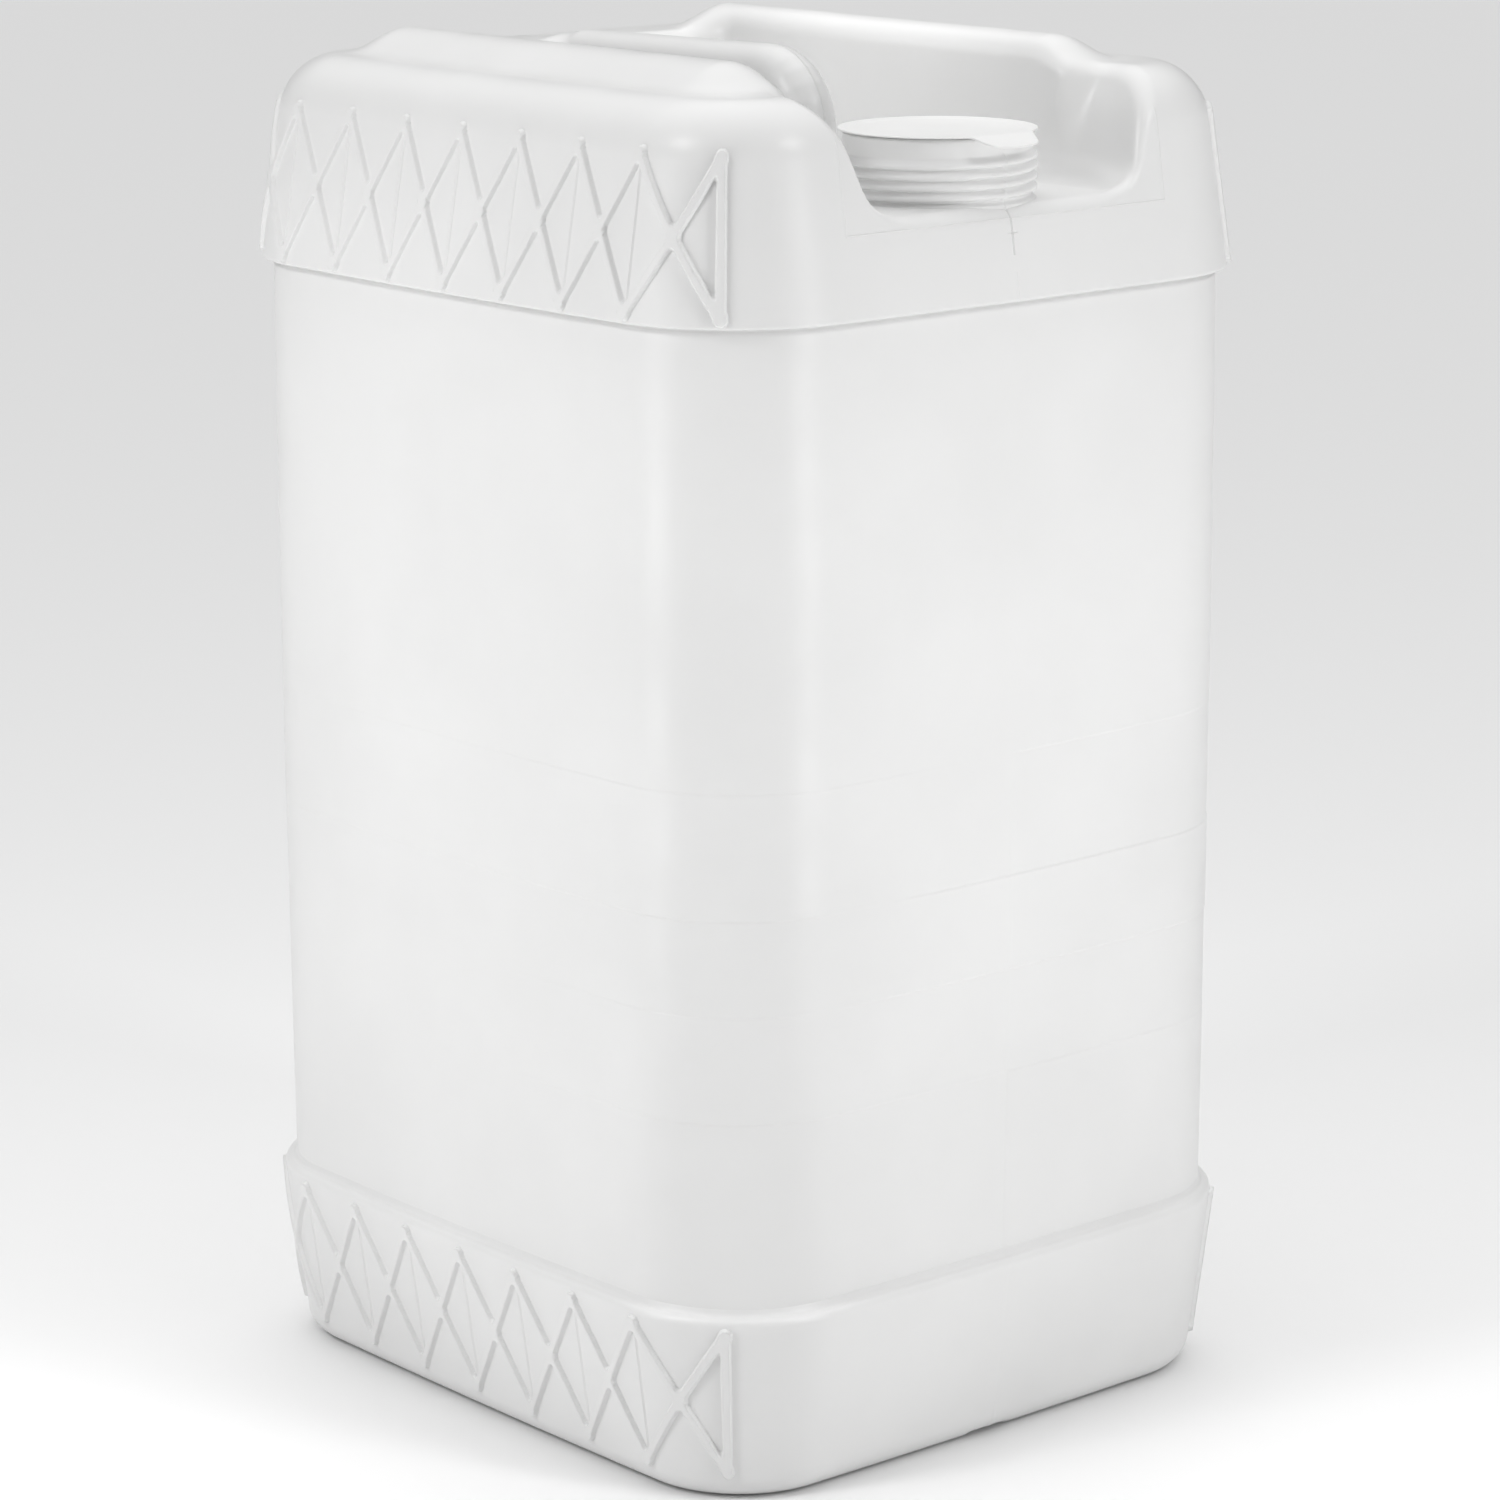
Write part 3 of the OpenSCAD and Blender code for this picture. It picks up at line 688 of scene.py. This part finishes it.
def make_ribs(name, band, low, high, side):
    """A lattice that stands on band, a distance function, on the face that side (1 or -1) gives."""
    columns = np.arange(-1.5, math.pi / 2 * CORNER_R + 2 * (HALF_D - CORNER_R) + 1.5, 0.45)
    heights = np.arange(low - 2.4, high + 2.4, 0.45)
    along, z = np.meshgrid(columns, heights)

    def surface(s, h):
        anchors = rib_anchor(s)
        rise = rib_height(s, h, low, high) - 0.12
        x, y = out_to(anchors, lambda px, py: band(px, py, h), 4)
        x, y = x + anchors[..., 2] * rise, y + anchors[..., 3] * rise
        return np.stack([side * x, y, h], axis=-1)

    points = surface(along, z)
    e = 0.12
    across = surface(along + e, z) - surface(along - e, z)
    upward = surface(along, z + e) - surface(along, z - e)
    normals = np.cross(across, upward) * side
    normals /= np.linalg.norm(normals, axis=-1, keepdims=True)
    faces = grid_faces(*along.shape, close_columns=False)
    tall = rib_height(along, z, low, high).ravel() > 0.01
    faces = faces[tall[faces].any(axis=1)]
    if side < 0:
        faces = faces[:, ::-1]
    used, faces = np.unique(faces, return_inverse=True)
    faces = faces.reshape(-1, 4)
    made = make_object(name, points.reshape(-1, 3)[used], [faces], WHITE, normals.reshape(-1, 3)[used])
    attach(made, "container")
    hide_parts(name)


def lower_slope(x, y, z):
    """Distance from the lower band's side faces."""
    part = np.clip((z - FOOT_R) / (LIP_Z - LIP_R - FOOT_R), 0, 1)
    grow = -FOOT_IN + part * (LIP_PROUD + FOOT_IN)
    return side_distance(x, y, grow, FOOT_BOW + part * (1 - FOOT_BOW))


def upper_slope(x, y, z):
    """Distance from the upper band and its curve into the shoulder."""
    return round_max(band_side(x, y, z), z - SHOULDER_Z, SHOULDER_R)


for side, end in ((-1, "left"), (1, "right")):
    make_ribs("lower_grip_" + end, lower_slope, *LOWER_RIBS, side)
    make_ribs("upper_grip_" + end, upper_slope, BAND_Z + UPPER_RIB_LIFT, CURVE_Z + UPPER_RIB_OVER, side)


# ---------------------------------------------------------------- the neck, its thread and the seal

def thread_height(turn, z):
    """How far the thread stands out of the neck: a gentle upper flank and a steep lower one."""
    first = RIM_Z - POCKET_Z - THREAD_DROP - THREAD_PITCH * THREAD_TURNS
    tall = np.zeros(np.broadcast(turn, z).shape)
    for lap in range(-1, int(THREAD_TURNS) + 2):
        travelled = np.mod(turn - THREAD_START, 360) / 360 + lap
        crest = POCKET_Z + first + THREAD_PITCH * travelled
        fade = smooth_step(travelled / 0.2) * smooth_step((THREAD_TURNS - travelled) / 0.2)
        above = z - crest
        upper, lower = 1 - smooth_step((above - 0.1) / 2.5), smooth_step((above + 1.15) / 0.8)
        shape = np.where(above > -0.35, upper, lower)
        tall = np.maximum(tall, np.where((travelled >= 0) & (travelled <= THREAD_TURNS), fade * shape, 0))
    return tall * (THREAD_R - NECK_R)


def make_neck():
    """The neck with its thread, the flash on its front parting line, and the bore."""
    turns = np.concatenate([np.arange(0, 267, 2.0), np.arange(267, 273, 0.5), np.arange(273, 360, 2.0)])[None]
    rise = np.linspace(POCKET_Z - 1.5, RIM_Z - 0.8, 116)
    z = rise[:, None]
    r = NECK_R + thread_height(turns, z)
    r = r + 1.2 * (1 - smooth_step((z - POCKET_Z) / 1.4))
    flash = np.exp(-((turns - 270) / 0.9) ** 2) * (0.35 + 0.25 * np.sin(z * 2.4))
    r = r + flash * smooth_step((RIM_Z - 3 - z) / 2)
    r = np.minimum(r, THREAD_R + 0.3)
    rows_r, rows_z = [r], [np.broadcast_to(z, r.shape)]
    for turn in (30, 60, 90):
        t = math.radians(turn)
        rows_r.append(np.full(r[:1].shape, NECK_R - 0.8 * (1 - math.cos(t))))
        rows_z.append(np.full(r[:1].shape, RIM_Z - 0.8 * (1 - math.sin(t))))
    for inner, height in ((BORE_R + 0.6, RIM_Z), (BORE_R + 0.15, RIM_Z - 0.2), (BORE_R, RIM_Z - 0.7),
                          (BORE_R, POCKET_Z + 6), (BORE_R, POCKET_Z - WALL)):
        rows_r.append(np.full(r[:1].shape, inner))
        rows_z.append(np.full(r[:1].shape, height))
    r, z = np.concatenate(rows_r), np.concatenate(rows_z)
    way = np.radians(np.broadcast_to(turns, r.shape))
    points = np.stack([r * np.cos(way), NECK_Y + r * np.sin(way), z], axis=-1).reshape(-1, 3)
    return make_object("neck", points, [grid_faces(*r.shape, close_rows=True)], WHITE)


neck = make_neck()
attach(neck, "container")
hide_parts("neck", "neck_thread")

TAB_HINGE = tab_high[1]
TAB_TIP = tab_low[1]


def seal_sheet(x, y):
    """Height of the seal's top: flat on the rim, slack over the bore, with a drooping tab in front."""
    r = np.hypot(x, y - NECK_Y)
    slack = 0.35 * smooth_step((BORE_R + 0.4 - r) / 2.2)
    waves = 0.12 * np.sin(x * 0.21 + 1.0) * np.sin(y * 0.17) * smooth_step((BORE_R - r) / 6)
    edge = np.clip(r - NECK_R, 0, None)
    down = np.clip(TAB_HINGE - y, 0, None)
    share = smooth_step((TAB_HINGE + 3 - y) / 6) * smooth_step((TAB_HALF + 6 - np.abs(x)) / 8)
    droop = share * math.tan(TAB_DROOP) * down
    return SEAL_TOP - slack + waves - 0.1 * edge * (1 - share) - droop


def seal_outline(way):
    """Distance of the seal's edge from the neck's axis, with the tab's lobe at the front."""
    off = np.abs((np.degrees(way) + 90 + 180) % 360 - 180)
    lobe = smooth_step((27 - off) / 15)
    reach = NECK_Y - TAB_TIP - 0.15
    return SEAL_R - 0.1 + (reach - SEAL_R) * lobe


def make_seal():
    """The seal film and its tab as one closed sheet."""
    way = np.radians(np.arange(0, 360, 1.5))[None]
    share = np.concatenate([np.linspace(0.05, 0.8, 17), np.linspace(0.815, 1, 14)])[:, None]
    r = share * seal_outline(way)
    x, y = r * np.cos(way), NECK_Y + r * np.sin(way)
    top_side = np.stack([x, y, seal_sheet(x, y)], axis=-1)
    thick = 0.5
    under = top_side[::-1] - (0, 0, thick)
    rim = top_side[-1:] - (0, 0, thick / 2)
    rim[..., :2] += 0.12 * np.stack([np.cos(way), np.sin(way)], axis=-1)
    points = np.concatenate([top_side, rim, under])
    columns = way.size
    last = len(points) * columns
    here, after = np.arange(columns), (np.arange(columns) + 1) % columns
    centre = seal_sheet(0.0, NECK_Y)
    points = np.concatenate([points.reshape(-1, 3), [(0, NECK_Y, centre), (0, NECK_Y, centre - thick)]])
    over = np.stack([np.full(columns, last), here, after], axis=-1)
    below = np.stack([np.full(columns, last + 1), last - columns + after, last - columns + here], axis=-1)
    return make_object("seal", points, [grid_faces(last // columns, columns)[:, ::-1], over, below], MILKY)


seal = make_seal()
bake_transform(seal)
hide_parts("seal_disc", "seal_tab")


# ---------------------------------------------------------------- stage and light

def make_floor():
    """A wide pale floor."""
    mesh = bpy.data.meshes.new("floor")
    reach = 20.0
    mesh.from_pydata([(-reach, -reach, 0), (reach, -reach, 0), (reach, reach, 0), (-reach, reach, 0)], [],
                     [(0, 1, 2, 3)])
    floor = bpy.data.objects.new("floor", mesh)
    material = bpy.data.materials.new("floor")
    material.use_nodes = True
    shader = material.node_tree.nodes["Principled BSDF"]
    shader.inputs["Base Color"].default_value = (0.86, 0.86, 0.86, 1)
    shader.inputs["Roughness"].default_value = 0.9
    mesh.materials.append(material)
    bpy.context.scene.collection.objects.link(floor)


def soft_light(name, place, target, size, power):
    """A rectangular area light, in metres and watts, that the camera doesn't see."""
    data = bpy.data.lights.new(name, "AREA")
    data.shape = "RECTANGLE"
    data.size, data.size_y = size
    data.energy = power
    lamp = bpy.data.objects.new(name, data)
    lamp.location = place
    lamp.visible_camera = False
    lamp.rotation_mode = "QUATERNION"
    lamp.rotation_quaternion = (Vector(place) - Vector(target)).to_track_quat("Z", "Y")
    bpy.context.scene.collection.objects.link(lamp)


# The sky: its light all round, the glow overhead, where that is aimed, and the cosine where it fades out
BASE_LIGHT, GLOW = 0.05, 2.3
GLOW_AIM, GLOW_EDGE = (0.15, 0.2, 1.0), 0.6


def studio_world():
    """A dim even sky with a wide glow overhead."""
    world = bpy.data.worlds.new("studio")
    bpy.context.scene.world = world
    world.use_nodes = True
    nodes, links = world.node_tree.nodes, world.node_tree.links
    dot = nodes.new("ShaderNodeVectorMath")
    dot.operation = "DOT_PRODUCT"
    links.new(nodes.new("ShaderNodeTexCoord").outputs["Generated"], dot.inputs[0])
    dot.inputs[1].default_value = Vector(GLOW_AIM).normalized()
    light = remap(nodes, links, dot.outputs["Value"], GLOW_EDGE, 1.0, BASE_LIGHT, BASE_LIGHT + GLOW)
    links.new(light, nodes["Background"].inputs["Strength"])
    nodes["Background"].inputs["Color"].default_value = (1, 1, 1, 1)


make_floor()
studio_world()
soft_light("left_box", (-0.47, 0.0, 0.27), (-0.12, 0.0, 0.23), (0.12, 0.42), 0.56)
soft_light("right_box", (0.01, -0.48, 0.27), (0.01, -0.13, 0.23), (0.12, 0.42), 0.61)
soft_light("high_left", (-1.15, 0.05, 1.2), (0, 0, 0.42), (0.25, 0.25), 4.2)
soft_light("high_front", (0.3, -1.15, 1.2), (0, 0, 0.42), (0.25, 0.25), 3.3)
soft_light("trough_fill", (0.014, 0.0, 0.475), (0.06, 0.0, 0.47), (0.12, 0.03), 0.02)
bpy.context.scene.view_settings.view_transform = "Standard"
